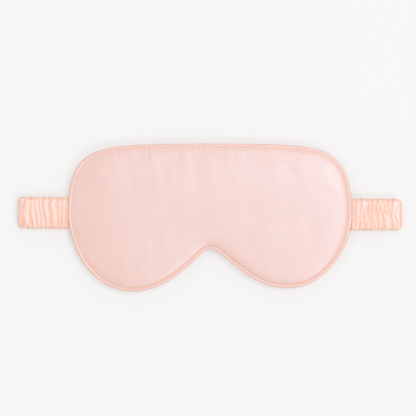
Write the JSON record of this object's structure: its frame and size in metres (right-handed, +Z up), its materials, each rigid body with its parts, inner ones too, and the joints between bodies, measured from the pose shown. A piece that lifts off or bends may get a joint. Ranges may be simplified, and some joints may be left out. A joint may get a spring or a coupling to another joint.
{
  "type": "sleep eye mask",
  "caption": "Padded fabric sleep eye mask with a nose notch, a piped edge and a gathered elastic strap folded flat behind it.",
  "frame": {"origin": "bottom centre of the overall bounding box: on the floor, below the middle of the mask", "axes": "+X along the mask's width to the right as seen from its front, +Y to the brow edge, +Z up out of the front panel; the mask lies face up on its strap"},
  "size_m": [0.2846, 0.1078, 0.0128],
  "materials": {
    "front_satin": "satin",
    "back_satin": "satin",
    "piping_satin": "satin",
    "strap_satin": "satin",
    "cotton_cord": "matte",
    "wadding": "matte",
    "blackout_cloth": "matte",
    "woven_elastic": "matte",
    "sewing_thread": "satin"
  },
  "bodies": {
    "strap_centre": {"strap_casing_centre": "strap_satin", "strap_elastic_centre": "woven_elastic"},
    "right_run": {"strap_casing_right_run": "strap_satin", "strap_elastic_right_run": "woven_elastic"},
    "right_end": {"strap_casing_right_fold": "strap_satin", "strap_elastic_right_fold": "woven_elastic", "strap_casing_right_end": "strap_satin", "strap_elastic_right_end": "woven_elastic"},
    "left_run": {"strap_casing_left_run": "strap_satin", "strap_elastic_left_run": "woven_elastic"},
    "left_end": {"strap_casing_left_fold": "strap_satin", "strap_elastic_left_fold": "woven_elastic", "strap_casing_left_end": "strap_satin", "strap_elastic_left_end": "woven_elastic"},
    "mask": {"front_panel": "front_satin", "filling_pad": "wadding", "blackout_liner": "blackout_cloth", "back_panel": "back_satin", "piping_cord": "cotton_cord", "piping_cover": "piping_satin", "edge_seam_thread": "sewing_thread", "strap_tail_right": "strap_satin", "strap_tail_left": "strap_satin", "strap_tack_right": "sewing_thread", "strap_tack_left": "sewing_thread"}
  },
  "joints": [
    {"name": "right_run_lift", "type": "hinge", "parent": "strap_centre", "child": "right_run", "pos_m": [0.03, 0.002, 0.004], "axis": [0, -1, 0], "range_deg": [0, 31.7]},
    {"name": "right_fold_open", "type": "hinge", "parent": "right_run", "child": "right_end", "pos_m": [0.138, 0.002, 0.0043], "axis": [0, 1, 0], "range_deg": [0, 86.7], "deforming": ["strap_casing_right_fold", "strap_elastic_right_fold"]},
    {"name": "left_run_lift", "type": "hinge", "parent": "strap_centre", "child": "left_run", "pos_m": [-0.03, 0.002, 0.004], "axis": [0, 1, 0], "range_deg": [0, 31.8]},
    {"name": "left_fold_open", "type": "hinge", "parent": "left_run", "child": "left_end", "pos_m": [-0.138, 0.002, 0.0043], "axis": [0, -1, 0], "range_deg": [0, 86.7], "deforming": ["strap_casing_left_fold", "strap_elastic_left_fold"]},
    {"name": "right_seam_bend", "type": "hinge", "parent": "right_end", "child": "mask", "pos_m": [0.1045, 0.002, 0.0062], "axis": [0, -1, 0], "range_deg": [0, 55]}
  ],
  "couplings": [
    {"joint": "left_run_lift", "follows": "right_run_lift", "ratio": 1},
    {"joint": "right_fold_open", "follows": "right_run_lift", "ratio": 2.7331},
    {"joint": "left_fold_open", "follows": "right_run_lift", "ratio": 2.7331},
    {"joint": "right_seam_bend", "follows": "right_run_lift", "ratio": 1.7331}
  ]
}
